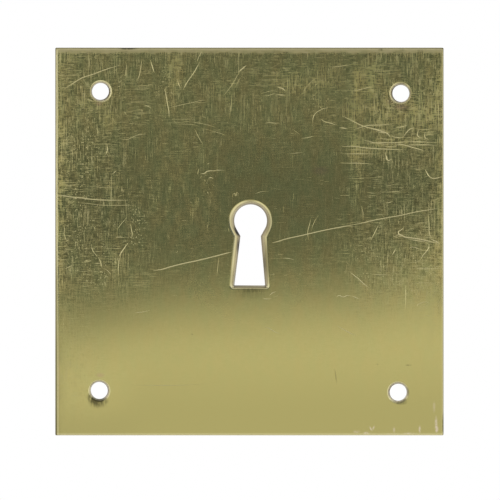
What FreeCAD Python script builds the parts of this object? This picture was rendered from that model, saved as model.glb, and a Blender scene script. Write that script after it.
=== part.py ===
import FreeCAD, Part
import os
from math import acos, atan2, cos, hypot, pi, sin, sqrt, tan

# A square keyhole escutcheon of sheet brass, in millimetres. It hangs upright as it is fixed:
# X runs to the right, Z runs up, the back lies on y = 0 and the front faces -Y.
# The origin is the middle of the back face.

# Plate, measured at its back
PLATE_WIDTH = 100.0
PLATE_HEIGHT = 99.8
PLATE_THICKNESS = 2.0
CORNER_RADIUS = 0.35

# Its sheared edges lean in towards the front, and roll over into the front face
EDGE_ROLL_DEPTH = 0.16
LEFT_LEAN = 0.12
LEFT_ROLL = 0.75
RIGHT_LEAN = 0.06
RIGHT_ROLL = 0.6
TOP_LEAN = 0.1
TOP_ROLL = 0.85
BOTTOM_LEAN = 0.04
BOTTOM_ROLL = 0.4

# Dents in the top front edge: middle along X, length, and depth across the edge
EDGE_DENTS = ((-31.4, 5.8, 0.3), (33.9, 1.3, 0.22))

# Four screw holes, straight from the back and flared to a rounded rim at the front
SCREW_SPACING_X = 77.2
SCREW_SPACING_Z = 77.0
SCREW_PATTERN_X = 0.1
SCREW_PATTERN_Z = -0.11
SCREW_HOLE_RADIUS = 2.2
SCREW_THROAT_RADIUS = 2.48
SCREW_RIM_RADIUS = 2.95
SCREW_BORE_LENGTH = 0.9
SCREW_RIM_DEPTH = 0.4

# The holes were drilled by hand: how far each bore lies from the true pattern,
# and its flare from the bore, as (x, z)
SCREW_HOLES = {
    (-1, 1): ((0.15, 0.26), (0.16, -0.06)),
    (1, 1): ((0.34, -0.26), (-0.18, 0.0)),
    (-1, -1): ((-0.14, 0.23), (0.1, 0.0)),
    (1, -1): ((-0.36, -0.23), (-0.12, 0.05)),
}

# Keyhole: the clear opening that the key passes. Its straight shoulders run from the round to the neck.
KEYHOLE_TOP_Z = 9.54
KEYHOLE_LENGTH = 20.86
KEYHOLE_ROUND_RADIUS = 4.22
KEYHOLE_SHOULDER = 2.15
KEYHOLE_NECK_WIDTH = 5.25
KEYHOLE_FOOT_WIDTH = 7.9
KEYHOLE_FOOT_CORNER = 0.18
KEYHOLE_X = 0.33
KEYHOLE_FOOT_LEAN = -0.22

# Keyhole: how much larger than the opening it is where its filed wall meets the lip, and where
# the lip ends on the front face. The widths grow by this on each side, and shift moves both sides.
WALL_GROWTH = {
    "round": 0.55,
    "shoulder": -0.2,
    "neck": 0.65,
    "foot": 0.5,
    "below": 0.45,
    "drop": 0.1,
    "corner": 0.2,
    "shift": 0.05,
}
LIP_GROWTH = {
    "round": 1.5,
    "shoulder": -0.62,
    "neck": 1.8,
    "foot": 1.35,
    "below": 1.05,
    "drop": 0.3,
    "corner": 0.8,
    "shift": -0.05,
}
WALL_DEPTH = 1.5
LIP_DEPTH = 0.5

# Every rolled edge is a quarter of an ellipse, cut into this many steps
LIP_STEPS = 7

# How far a cutting tool runs past the faces it cuts
CLEARANCE = 1.0


def point(x, z, out):
    """A point at x and z, this far out of the back face towards the front."""
    return FreeCAD.Vector(x, -out, z)


def rolled_sections():
    """The steps of a rolled edge as (spread, sink): from its wall (0, 1) to the face (1, 0)."""
    for step in range(LIP_STEPS, -1, -1):
        angle = step / LIP_STEPS * pi / 2
        yield 1 - sin(angle), 1 - cos(angle)


def plate_outline(out, lean=0.0, roll=0.0):
    """The plate's outline, drawn in from each side by shares of that side's lean and roll."""
    left = -PLATE_WIDTH / 2 + LEFT_LEAN * lean + LEFT_ROLL * roll
    right = PLATE_WIDTH / 2 - RIGHT_LEAN * lean - RIGHT_ROLL * roll
    bottom = -PLATE_HEIGHT / 2 + BOTTOM_LEAN * lean + BOTTOM_ROLL * roll
    top = PLATE_HEIGHT / 2 - TOP_LEAN * lean - TOP_ROLL * roll
    centres = (
        (right - CORNER_RADIUS, top - CORNER_RADIUS),
        (left + CORNER_RADIUS, top - CORNER_RADIUS),
        (left + CORNER_RADIUS, bottom + CORNER_RADIUS),
        (right - CORNER_RADIUS, bottom + CORNER_RADIUS),
    )
    arcs = []
    for quarter, (x, z) in enumerate(centres):
        angles = [(quarter + part) * pi / 2 for part in (0, 0.5, 1)]
        arcs.append([point(x + CORNER_RADIUS * cos(a), z + CORNER_RADIUS * sin(a), out) for a in angles])
    edges = []
    for quarter, (start, middle, end) in enumerate(arcs):
        next_start = arcs[(quarter + 1) % len(arcs)][0]
        edges.append(Part.Arc(start, middle, end).toShape())
        edges.append(Part.makeLine(end, next_start))
    return Part.Wire(edges)


def blank():
    """The sheared plate: its sides lean in from the back and roll over into the front face."""
    outlines = [plate_outline(0)]
    for spread, sink in rolled_sections():
        outlines.append(plate_outline(PLATE_THICKNESS - EDGE_ROLL_DEPTH * sink, 1, spread))
    return Part.makeLoft(outlines, True, True)


def edge_dent(x, length, depth):
    """A wide shallow scoop out of the top front edge, like a blow from something blunt."""
    radius = (length**2 / 4 + depth**2) / (2 * depth)
    outward = FreeCAD.Vector(0, -1, 1).normalize()
    along = FreeCAD.Vector(0, 1, 1).normalize()
    edge = point(x, PLATE_HEIGHT / 2 - TOP_LEAN, PLATE_THICKNESS)
    centre = edge + outward * (radius - depth)
    return Part.makeCylinder(radius, 2 * PLATE_THICKNESS, centre - along * PLATE_THICKNESS, along)


def screw_hole(x, z, flare_x, flare_z):
    """A straight bore through the plate, and a flare with a rounded rim that lies beside it."""
    to_front = FreeCAD.Vector(0, -1, 0)
    bore_length = PLATE_THICKNESS + 2 * CLEARANCE
    bore = Part.makeCylinder(SCREW_HOLE_RADIUS, bore_length, point(x, z, -CLEARANCE), to_front)
    corner = cos(pi / 4)
    rim_width = SCREW_RIM_RADIUS - SCREW_THROAT_RADIUS
    foot = (SCREW_HOLE_RADIUS, SCREW_BORE_LENGTH)
    throat = (SCREW_THROAT_RADIUS, PLATE_THICKNESS - SCREW_RIM_DEPTH)
    bulge = (SCREW_RIM_RADIUS - rim_width * corner, PLATE_THICKNESS - SCREW_RIM_DEPTH * (1 - corner))
    rim = (SCREW_RIM_RADIUS, PLATE_THICKNESS)
    above = (SCREW_RIM_RADIUS, PLATE_THICKNESS + CLEARANCE)

    def at(radius, out):
        return point(x + flare_x + radius, z + flare_z, out)

    edges = [
        Part.makeLine(at(0, foot[1]), at(*foot)),
        Part.makeLine(at(*foot), at(*throat)),
        Part.Arc(at(*throat), at(*bulge), at(*rim)).toShape(),
        Part.makeLine(at(*rim), at(*above)),
        Part.makeLine(at(*above), at(0, above[1])),
        Part.makeLine(at(0, above[1]), at(0, foot[1])),
    ]
    flare = Part.Face(Part.Wire(edges)).revolve(at(0, 0), to_front, 360)
    return bore.fuse(flare)


def screw_holes():
    for (side_x, side_z), ((drift_x, drift_z), flare) in SCREW_HOLES.items():
        x = SCREW_PATTERN_X + side_x * SCREW_SPACING_X / 2 + drift_x
        z = SCREW_PATTERN_Z + side_z * SCREW_SPACING_Z / 2 + drift_z
        yield screw_hole(x, z, *flare)


def tangent_point(centre, radius, outside, side):
    """Where a line from a point outside a circle touches it, on the circle's right (1) or left (-1)."""
    across = outside[0] - centre[0]
    up = outside[1] - centre[1]
    angle = atan2(up, across) + side * acos(radius / hypot(across, up))
    return centre[0] + radius * cos(angle), centre[1] + radius * sin(angle)


def rounded_corner(corner, before, after, radius):
    """Start, middle and end of the arc that rounds the corner between two other points."""
    def direction(end):
        length = hypot(end[0] - corner[0], end[1] - corner[1])
        return (end[0] - corner[0]) / length, (end[1] - corner[1]) / length

    first, second = direction(before), direction(after)
    half = acos(first[0] * second[0] + first[1] * second[1]) / 2
    trim = radius / tan(half)
    middle = radius / sin(half) - radius
    bisector = (first[0] + second[0]) / (2 * cos(half)), (first[1] + second[1]) / (2 * cos(half))
    steps = ((first, trim), (bisector, middle), (second, trim))
    return [(corner[0] + way[0] * reach, corner[1] + way[1] * reach) for way, reach in steps]


def keyhole_outline(growth, out):
    """One outline of the keyhole, larger than the clear opening by these growths."""
    x = KEYHOLE_X + growth["shift"]
    centre = (x, KEYHOLE_TOP_Z - KEYHOLE_ROUND_RADIUS - growth["drop"])
    radius = KEYHOLE_ROUND_RADIUS + growth["round"]
    neck = KEYHOLE_NECK_WIDTH / 2 + growth["neck"]
    reach = hypot(radius, KEYHOLE_SHOULDER + growth["shoulder"])
    neck_z = centre[1] - sqrt(reach**2 - neck**2)
    foot = KEYHOLE_FOOT_WIDTH / 2 + growth["foot"]
    foot_x = x + KEYHOLE_FOOT_LEAN
    foot_z = KEYHOLE_TOP_Z - KEYHOLE_LENGTH - growth["below"]
    necks, touches, corners = {}, {}, {}
    for side in (-1, 1):
        necks[side] = (x + side * neck, neck_z)
        touches[side] = tangent_point(centre, radius, necks[side], side)
        foot_end = (foot_x + side * foot, foot_z)
        corner = KEYHOLE_FOOT_CORNER + growth["corner"]
        corners[side] = rounded_corner(foot_end, necks[side], (foot_x, foot_z), corner)

    def line(start, end):
        return Part.makeLine(point(*start, out), point(*end, out))

    def arc(start, middle, end):
        return Part.Arc(point(*start, out), point(*middle, out), point(*end, out)).toShape()

    edges = [
        arc(touches[1], (centre[0], centre[1] + radius), touches[-1]),
        line(touches[-1], necks[-1]),
        line(necks[-1], corners[-1][0]),
        arc(*corners[-1]),
        line(corners[-1][2], corners[1][2]),
        arc(*reversed(corners[1])),
        line(corners[1][0], necks[1]),
        line(necks[1], touches[1]),
    ]
    return Part.Wire(edges)


def keyhole():
    """The keyhole's cutter: straight from the back, then the filed wall and the rounded lip."""
    clear = dict.fromkeys(LIP_GROWTH, 0.0)
    outlines = [keyhole_outline(clear, -CLEARANCE)]
    outlines.append(keyhole_outline(clear, PLATE_THICKNESS - WALL_DEPTH))
    for spread, sink in rolled_sections():
        growth = {name: wall + (LIP_GROWTH[name] - wall) * spread for name, wall in WALL_GROWTH.items()}
        outlines.append(keyhole_outline(growth, PLATE_THICKNESS - LIP_DEPTH * sink))
    outlines.append(keyhole_outline(LIP_GROWTH, PLATE_THICKNESS + CLEARANCE))
    return Part.makeLoft(outlines, True, True)


def escutcheon_plate():
    cutters = [keyhole(), *screw_holes()]
    cutters += [edge_dent(*dent) for dent in EDGE_DENTS]
    return blank().cut(cutters).Solids[0]


def main():
    os.makedirs("parts", exist_ok=True)
    plate = escutcheon_plate()
    box = plate.optimalBoundingBox(True, False)
    print("valid", plate.isValid(), "volume", round(plate.Volume, 2))
    print("size", round(box.XLength, 3), round(box.YLength, 3), round(box.ZLength, 3))
    plate.exportStep("parts/escutcheon_plate.step")


main()
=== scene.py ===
"""The looks of a square sheet-brass keyhole escutcheon, worn, scratched and hazed."""
import math

import bpy
from mathutils import Matrix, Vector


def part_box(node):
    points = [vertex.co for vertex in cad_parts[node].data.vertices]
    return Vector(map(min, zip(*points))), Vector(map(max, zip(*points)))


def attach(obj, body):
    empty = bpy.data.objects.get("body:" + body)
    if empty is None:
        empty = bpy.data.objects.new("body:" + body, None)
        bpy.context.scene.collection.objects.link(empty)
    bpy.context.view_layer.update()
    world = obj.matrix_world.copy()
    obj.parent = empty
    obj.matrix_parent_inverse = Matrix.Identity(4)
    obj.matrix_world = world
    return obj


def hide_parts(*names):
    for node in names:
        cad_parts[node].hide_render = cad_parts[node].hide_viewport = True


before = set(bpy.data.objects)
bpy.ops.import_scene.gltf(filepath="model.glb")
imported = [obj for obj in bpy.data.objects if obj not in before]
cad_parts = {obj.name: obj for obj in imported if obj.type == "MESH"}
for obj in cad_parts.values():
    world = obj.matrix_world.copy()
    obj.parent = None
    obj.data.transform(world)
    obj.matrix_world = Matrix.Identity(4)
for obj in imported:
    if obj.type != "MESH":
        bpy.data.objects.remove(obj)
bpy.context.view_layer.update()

MM = 0.001
PLATE_LOW, PLATE_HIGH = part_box("escutcheon_plate")
FRONT_Y = PLATE_LOW.y
PLATE_WIDTH = PLATE_HIGH.x - PLATE_LOW.x

# The picture: 500 pixels across, of which the plate fills 389
PICTURE_PIXELS = 500
PLATE_PIXELS = 389.1
PICTURE_WIDTH = PLATE_WIDTH * PICTURE_PIXELS / PLATE_PIXELS
CAMERA_DISTANCE = 0.6
CAMERA_X = 0.175 * MM
CAMERA_Z = -2.21 * MM
SENSOR = 36.0

# The studio
FLOOR_Z = PLATE_LOW.z - 35 * MM
FLOOR_HALF_WIDTH = 1.2
FLOOR_FRONT = -1.1
FLOOR_BACK = 1.6
BACKDROP_TOP = 1.5
BACKDROP_BEND = 0.35
FLOOR_WHITE = (0.9, 0.9, 0.9, 1)
FLOOR_FADE = (0.1, 0.17)
WHITE = (1, 1, 1, 1)
OVERHEAD_Z = 1.0
OVERHEAD_HALF_WIDTH = 1.3
OVERHEAD_GREY = (0.5, 0.5, 0.5, 1)
CARD_Y = -0.9
CARD_LEFT = -0.22
CARD_RIGHT = 0.36
CARD_TOP = 0.42
CARD_FOOT = -0.074
CARD_GREY = (0.196, 0.224, 0.256, 1)

# The border on the card between white below and grey above, in mm: it leans, and bends at both ends
CARD_FADE = (-96, -12)
CARD_LEAN = 0.05
CARD_LEFT_BEND = (-45, -110)
CARD_LEFT_DROP = 9
CARD_RIGHT_BEND = (92, 125)
CARD_RIGHT_RISE = 16

# The plate's brass
WARM_BRASS = (0.535, 0.434, 0.155, 1)
COOL_BRASS = (0.457, 0.442, 0.163, 1)
# bare brass in the scratches and specks, made lighter as painted glints
BARE_AND_GLINT_BRASS = (0.66, 0.59, 0.29, 1)
# painted highlights on the edges and lips
HIGHLIGHT_BRASS = (0.82, 0.76, 0.44, 1)
GROOVE_BRASS = (0.70, 0.63, 0.34, 1)
# painted shade towards the bottom of the plate
BOTTOM_SHADE_BRASS = (0.423, 0.377, 0.138, 1)
PALE_STAIN = (0.64, 0.54, 0.38, 1)
RIM_BRASS = (0.54, 0.47, 0.25, 1)
LIP_BRASS = (0.50, 0.435, 0.24, 1)
# painted shade on the walls of the openings, darkest deep down
SHADED_WALL_BRASS = (0.32, 0.27, 0.165, 1)
SHADED_DEEP_BRASS = (0.15, 0.12, 0.07, 1)
STAIN_BROWN = (0.50, 0.37, 0.19, 1)
# dark brown for the grain, and for dirt and painted shade
DARK_BROWN = (0.13, 0.115, 0.045, 1)
# near-black painted shade in the keyhole's wall
BLACK_SHADE = (0.02, 0.016, 0.01, 1)
HAZED_ROUGHNESS = 0.35
POLISHED_ROUGHNESS = 0.1
WAVE_HEIGHT = 0.006
MARK_HEIGHT = 0.001

# Depths below the front face, in mm, over which one brass gives way to the next
GROOVE_DEPTH = (0.002, 0.02)
RIM_DEPTH = (0.001, 0.01)
LIP_DEPTH = (0.06, 0.16)
LIP_START = (0.005, 0.02)
LIP_END = (0.6, 0.4)
DARK_WALL_DEPTH = (0.2, 0.45)
WALL_DEPTH = (0.4, 0.9)
DEEP_DEPTH = (0.9, 1.8)

# How the scratches are cut
GROOVE_SLOPE = 0.58
GROOVE_RAISE = 0.004 * MM
GROOVE_TIP = 0.3
SMOOTH_ANGLE = 25
FLAT_FRONT = -0.9999

# Hazed places in the front face: how hazed, middle x and z, half width and half height in mm, lean
HAZE = (
    (0.50, 27.4, 27, 2.6, 24),
    (0.28, 34, 34, 7, 10),
    (0.32, 41, 33, 7, 7),
    (0.35, 40, 25.5, 11, 2.5),
    (0.30, 33, 24, 5, 4),
    (0.22, 46.5, 36, 4, 14),
    (0.10, 47, -6, 4, 10),
    (0.80, 49.9, -5, 3.0, 17),
    (0.25, -18, 14, 18, 18),
    (0.25, -34.5, 13, 3.5, 7),
    (0.35, -40, 35.5, 5, 3),
    (0.30, -36, 31, 3, 4),
    (0.35, -19, 43.5, 3.5, 8),
    (0.25, -21, 34, 3, 4),
    (0.20, -6, 39, 5, 5),
    (0.35, -49.2, 13, 1.8, 12),
    (0.20, -46, 15, 3, 12),
    (0.12, -40, 18, 7, 8),
    (0.25, 14, 42, 14, 6),
    (0.10, -33, -5, 6, 8),
    (0.45, 30.5, 42, 6, 7),
)

# Places covered with small bright specks, whose brightness is partly painted glints, in the same way
SPECKLED = (
    (1.0, -43.0, 22, 6, 16),
    (0.7, -42.5, 3, 7, 16),
    (0.8, -33, 39.5, 3, 5),
    (0.7, -29, 3.5, 4, 8),
    (0.6, -10.5, 14.5, 3.2, 4.5),
    (0.5, -21, 40, 5, 8),
    (0.8, 35.5, 36, 4, 9),
    (0.5, 43, -8, 7, 9),
    (0.35, 30, -6, 9, 8),
    (0.6, -38, -6, 6, 10),
    (0.5, 46, 38, 4, 10),
    (0.4, 18, 38, 8, 8),
)

# Dark dirt, and painted shade along rims and under the keyhole's foot, in the same way
DIRT_AND_SHADE = (
    (1.0, -38.9, -41.2, 3.0, 2.1),
    (0.8, -40.7, -40.4, 1.2, 1.8, -35),
    (0.5, -36.9, -40.9, 1.0, 1.0, 35),
    (0.6, 38.9, -41.6, 1.9, 0.55),
    (0.25, 40.2, -41.0, 1.2, 0.8, -35),
    (0.35, 0.4, -12.6, 5.0, 0.8),
    (0.2, 0.4, -13.2, 6.5, 2.2),
    (0.5, -3.4, 3.2, 0.8, 1.9, -40),
    (0.9, -31.3, 49.5, 3.2, 0.3),
    (0.6, 33.8, 49.2, 0.8, 0.5),
    (0.9, 49.8, -47.0, 0.3, 3.6),
    (0.5, 32.9, -31.6, 0.3, 0.3),
    (0.5, 40.9, -31.8, 1.1, 0.25),
    (0.4, 22.2, -34.6, 0.25, 2.4, -8),
    (0.5, -14.7, -23.9, 0.3, 0.3),
    (0.5, -46.2, -17.8, 0.3, 0.3),
)

# Painted shade on the lips round the openings, in the same way
LIP_SHADE = (
    (0.7, 4.9, -4.5, 1.8, 9.5),
    (0.35, 5.2, 4.8, 2.0, 5),
    (0.3, -4.5, -9.5, 1.5, 4.0),
    (0.2, -5.0, 5.0, 1.5, 5.0),
    (0.8, 0.2, 11.1, 5.5, 1.2),
    (0.4, -41.0, 38.8, 1.6, 3.0),
    (0.6, 41.7, 38.6, 1.3, 3.0),
    (0.5, 39.6, 41.0, 2.5, 1.2),
    (0.6, -38.8, -41.2, 2.5, 1.2),
    (0.7, 41.2, -38.6, 1.2, 2.2),
    (0.45, 39.9, -41.4, 1.8, 1.2),
)

# Painted shade deeper in the wall of the keyhole, in the same way
WALL_SHADE = (
    (1.2, -3.0, 2.6, 1.3, 2.0, -26),
    (0.9, -2.6, -1.8, 0.9, 3.4, -6),
    (0.4, 4.2, -5.0, 0.8, 4.0, 6),
)

# Painted highlights on the lips, in the same way
LIP_HIGHLIGHTS = (
    (1.0, -35.9, 38.6, 1.4, 2.6, 10),
    (0.9, -37.0, 36.2, 2.0, 1.2, -30),
    (0.6, -38.4, 41.4, 2.0, 1.0),
    (1.0, 35.4, 38.2, 1.2, 2.8),
    (0.8, 36.8, 36.0, 1.8, 1.2, 35),
    (0.9, 36.4, -40.8, 1.6, 1.0, 35),
    (0.5, 36.0, -37.2, 1.2, 1.6),
    (0.4, -41.4, -38.0, 0.9, 2.0),
    (0.4, -35.2, -38.4, 0.9, 2.0),
    (0.2, -0.4, 9.6, 5.0, 1.2),
    (0.2, -4.3, 6.0, 1.2, 5.0),
    (0.9, -4.2, -11.5, 1.0, 0.9),
    (0.9, 4.9, -11.5, 1.0, 0.9),
)

# Places with a faint pinkish brown stain, in the same way
STAINS = (
    (0.8, 39.0, 34.6, 2.6, 1.3),
    (0.5, 36.5, 36.0, 1.5, 1.5),
    (0.7, -38.6, 35.4, 1.2, 0.9),
    (0.6, -38.3, -34.4, 1.5, 0.9),
    (0.5, 18.3, 18.2, 3.0, 1.6),
    (0.3, 32.3, -48.9, 6.5, 0.9),
    (0.4, -49.0, -36, 0.5, 14),
    (0.4, -46.5, -49.3, 2.8, 0.5),
)

# Pale flecks along the foot of the plate, in the same way
PALE_STAINS = (
    (0.8, 48.0, -46.9, 0.5, 2.8),
    (0.9, 48.2, -48.3, 0.6, 1.1),
    (0.4, 47.5, -42.5, 0.5, 2.0),
    (0.9, 43.8, -48.3, 0.4, 1.3),
    (0.9, 31.9, -48.0, 0.3, 0.9, 20),
    (0.9, 31.2, -48.1, 0.3, 0.9, -25),
    (0.9, 30.2, -49.3, 1.2, 0.5),
    (0.7, 27.6, -48.9, 1.2, 0.5),
    (0.6, 37.2, -48.4, 0.4, 1.1),
    (0.7, 41.2, -49.4, 2.2, 0.4),
    (0.6, 36.6, -49.6, 2.2, 0.4),
)

# Scratches cut into the front face: width there, then points along it, in mm right of and above the middle
UPPER_LEFT = (
    (0.25, (-47.7, 39.1), (-45.3, 40.6), (-43.0, 42.0), (-40.3, 42.9), (-36.8, 44.2), (-33.2, 45.3)),
    (0.10, (-37.6, 48.0), (-37.6, 44.2)),
    (0.14, (-31.8, 43.6), (-31.7, 42.2)),
    (0.11, (-31.9, 46.5), (-31.6, 45.0), (-31.8, 43.0), (-31.5, 41.8)),
    (0.14, (-27.5, 47.0), (-27.8, 45.3), (-28.1, 43.5), (-28.4, 42.3), (-29.0, 41.2)),
    (0.25, (-44.2, 36.4), (-43.2, 35.9)),
    (0.21, (-42.2, 36.8), (-41.0, 36.3), (-39.8, 35.8)),
    (0.13, (-44.3, 35.7), (-43.5, 35.2), (-42.0, 35.3)),
    (0.12, (-38.7, 34.0), (-38.5, 31.0)),
    (0.12, (-38.3, 33.0), (-38.2, 29.5)),
    (0.14, (-35.2, 32.5), (-35.3, 28.2)),
    (0.16, (-34.5, 31.3), (-34.6, 30.2)),
    (0.12, (-34.3, 34.2), (-34.3, 32.8)),
    (0.16, (-35.6, 34.8), (-35.4, 34.0)),
    (0.40, (-32.0, 33.3), (-31.8, 32.7)),
    (0.25, (-30.8, 33.2), (-29.8, 33.3)),
    (0.35, (-27.7, 33.9), (-27.5, 33.3)),
    (0.23, (-26.9, 35.0), (-26.2, 34.8), (-25.2, 34.2)),
    (0.25, (-25.6, 34.0), (-25.6, 32.8)),
    (0.13, (-33.0, 26.1), (-31.3, 26.2), (-30.0, 26.8), (-28.4, 27.4), (-26.0, 27.6)),
    (0.10, (-32.0, 27.5), (-28.5, 27.6)),
    (0.14, (-26.8, 28.0), (-25.0, 28.2)),
    (0.13, (-27.5, 28.7), (-27.5, 27.6)),
    (0.13, (-44.3, 32.0), (-44.2, 24.5)),
    (0.14, (-43.8, 31.6), (-43.7, 29.8)),
    (0.13, (-42.7, 28.0), (-42.7, 24.0)),
    (0.33, (-42.1, 31.9), (-42.0, 31.5)),
    (0.25, (-42.1, 30.4), (-42.0, 30.0)),
    (0.23, (-47.3, 30.5), (-47.3, 30.0)),
    (0.23, (-47.6, 28.4), (-47.5, 28.0)),
    (0.21, (-25.4, 46.6), (-25.0, 45.2), (-24.7, 44.2), (-24.4, 43.3)),
    (0.20, (-25.3, 41.8), (-24.9, 42.2)),
)
UPPER_MIDDLE = (
    (0.12, (-11.9, 49.2), (-12.5, 48.3), (-13.2, 46.9), (-13.5, 45.9)),
    (0.19, (-12.8, 46.0), (-13.6, 44.5), (-14.5, 43.0), (-15.5, 41.6), (-16.4, 40.2), (-17.0, 39.0)),
    (0.30, (-0.7, 45.3), (-1.5, 44.6), (-2.2, 44.0), (-3.0, 43.4)),
    (0.12, (-2.2, 43.8), (-3.2, 42.4), (-4.2, 40.6), (-5.2, 39.2), (-6.8, 37.2)),
    (0.10, (-1.9, 42.6), (-2.8, 41.2), (-3.6, 39.5)),
    (0.10, (-4.6, 38.0), (-4.6, 35.8), (-4.9, 33.5), (-5.1, 31.5)),
    (0.13, (-20.9, 41.9), (-20.6, 39.8)),
    (0.12, (-20.1, 41.8), (-19.5, 39.7)),
    (0.13, (-19.4, 41.9), (-18.7, 39.9)),
    (0.19, (-18.6, 41.9), (-18.1, 40.3), (-17.6, 39.3)),
    (0.12, (-17.5, 41.3), (-17.4, 39.9)),
    (0.13, (-16.6, 42.2), (-16.4, 39.9)),
    (0.12, (-15.7, 41.4), (-15.3, 40.0)),
    (0.12, (-14.4, 41.7), (-14.4, 40.0)),
    (0.12, (-13.5, 41.2), (-13.0, 39.6)),
    (0.10, (-14.4, 39.5), (-14.3, 37.6)),
    (0.12, (-22.8, 46.5), (-22.9, 44.0)),
    (0.10, (-22.3, 45.5), (-22.4, 43.0)),
    (0.10, (-19.5, 47.2), (-19.4, 44.3)),
    (0.10, (-18.3, 44.5), (-18.3, 42.0)),
    (0.10, (-17.3, 46.0), (-17.2, 43.0)),
    (0.30, (-20.6, 45.1), (-19.8, 45.0)),
    (0.18, (-21.7, 39.6), (-21.4, 37.5), (-21.0, 35.2), (-20.7, 33.5), (-20.6, 31.7)),
    (0.14, (-21.6, 34.4), (-21.6, 31.9)),
    (0.10, (-22.8, 34.2), (-22.8, 32.5)),
    (0.13, (-21.0, 34.4), (-19.0, 34.7), (-17.0, 35.2), (-14.6, 35.7), (-12.5, 36.2), (-10.8, 36.3)),
    (0.10, (-19.0, 30.1), (-16.5, 30.1), (-14.4, 30.0), (-12.9, 29.6)),
    (0.12, (-15.6, 30.7), (-13.6, 30.5), (-12.0, 30.2), (-10.6, 29.9), (-8.8, 29.4)),
    (0.10, (-12.5, 29.0), (-11.0, 28.8), (-9.6, 28.4)),
    (0.11, (-10.5, 28.6), (-8.6, 28.1), (-7.3, 27.7), (-6.1, 27.3)),
    (0.10, (-12.7, 32.1), (-11.5, 31.9), (-10.7, 31.6)),
    (0.11, (-14.2, 29.2), (-13.5, 27.7), (-12.8, 26.4), (-12.2, 25.4), (-11.8, 24.9)),
    (0.10, (-1.5, 32.0), (-1.5, 29.4)),
    (0.10, (-0.8, 33.5), (-0.7, 30.6)),
    (0.10, (-1.4, 29.5), (-1.4, 25.5)),
    (0.10, (0.8, 33.4), (0.8, 29.4)),
    (0.10, (-5.2, 48.0), (-5.2, 44.0)),
    (0.10, (-4.3, 47.0), (-4.3, 42.5)),
    (0.10, (-16.8, 26.8), (-15.4, 26.9)),
    (0.19, (-22.4, 31.3), (-22.3, 30.8)),
    (0.19, (-23.2, 30.6), (-23.0, 30.2)),
    (0.19, (-23.7, 26.7), (-23.6, 26.2)),
    (0.19, (-23.6, 24.4), (-23.6, 23.7)),
    (0.10, (0.8, 43.9), (0.8, 41.6)),
    (0.30, (7.1, 39.7), (8.1, 39.4), (8.8, 39.1), (9.2, 38.6)),
    (0.12, (2.8, 37.9), (4.5, 38.4), (6.0, 38.7), (7.3, 38.5)),
    (0.13, (3.1, 37.4), (5.0, 37.5), (6.3, 37.9), (7.6, 37.7)),
    (0.30, (7.0, 37.8), (8.2, 37.6), (9.2, 37.6)),
    (0.10, (6.0, 41.8), (6.0, 31.0)),
    (0.10, (6.5, 33.4), (6.5, 31.3)),
    (0.10, (7.5, 35.5), (7.5, 31.3)),
    (0.12, (-0.4, 34.5), (1.7, 34.5)),
    (0.12, (3.8, 34.3), (5.8, 34.3)),
    (0.18, (4.0, 30.4), (5.2, 30.5), (6.2, 30.4), (7.9, 30.4)),
    (0.10, (13.4, 48.0), (13.4, 43.8)),
    (0.10, (13.4, 37.4), (13.4, 33.6)),
    (0.10, (13.5, 37.8), (14.2, 39.0), (15.0, 40.0), (16.0, 41.1), (16.8, 41.7), (18.2, 41.8)),
    (0.10, (16.0, 39.2), (17.2, 40.3), (18.2, 41.5)),
    (0.12, (16.4, 39.6), (17.0, 39.7)),
)
UPPER_RIGHT = (
    (0.17, (20.3, 44.8), (22.6, 44.9), (24.0, 45.1), (26.5, 45.5)),
    (0.10, (20.5, 45.4), (22.3, 45.3)),
    (0.13, (22.7, 45.6), (23.9, 45.6)),
    (0.16, (19.2, 35.0), (20.2, 34.6)),
    (0.23, (20.1, 34.5), (22.5, 34.5)),
    (0.10, (22.5, 34.5), (25.0, 34.2)),
    (0.17, (16.3, 30.5), (16.4, 31.8), (17.0, 32.9), (18.2, 33.7), (19.4, 34.2), (20.3, 34.3)),
    (0.10, (17.0, 35.2), (18.5, 34.3), (19.0, 33.8)),
    (0.10, (16.8, 36.4), (16.8, 35.5)),
    (0.10, (17.6, 36.4), (17.6, 35.5)),
    (0.21, (18.4, 31.4), (19.3, 30.8), (20.4, 30.5), (21.4, 30.2), (22.4, 29.9)),
    (0.10, (19.0, 29.8), (22.0, 29.8)),
    (0.23, (24.4, 36.8), (25.4, 36.9)),
    (0.10, (20.6, 40.0), (20.6, 37.8)),
    (0.17, (13.3, 26.5), (14.6, 26.6), (15.6, 26.8), (16.9, 27.1)),
    (0.10, (11.0, 28.9), (12.0, 28.2), (13.0, 27.4)),
    (0.10, (2.7, 27.3), (2.7, 24.8)),
    (0.10, (3.7, 26.8), (5.8, 26.8)),
    (0.25, (33.4, 49.3), (34.0, 48.5)),
    (0.18, (26.2, 38.5), (28.0, 38.9), (29.3, 39.2), (30.5, 39.5), (31.6, 39.4)),
    (0.11, (28.3, 38.4), (31.5, 38.3)),
    (0.16, (31.8, 38.1), (32.6, 38.0)),
    (0.13, (24.4, 36.7), (26.5, 36.6)),
    (0.16, (28.9, 34.7), (30.0, 34.5), (31.0, 34.5)),
    (0.19, (32.0, 34.3), (32.7, 34.2)),
    (0.23, (34.7, 37.2), (35.2, 37.4)),
    (0.23, (35.3, 36.2), (35.9, 36.0)),
    (0.19, (36.5, 34.9), (36.9, 34.0)),
    (0.23, (37.3, 33.0), (38.1, 32.6)),
    (0.19, (40.1, 34.9), (40.3, 34.2)),
    (0.23, (36.0, 33.8), (36.7, 33.6)),
    (0.10, (33.9, 44.0), (33.9, 38.5)),
    (0.13, (45.7, 32.8), (45.7, 31.5)),
    (0.10, (44.3, 32.5), (44.4, 31.2)),
    (0.13, (42.8, 31.2), (44.4, 31.0)),
    (0.16, (30.6, 41.5), (31.3, 41.4)),
)
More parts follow.
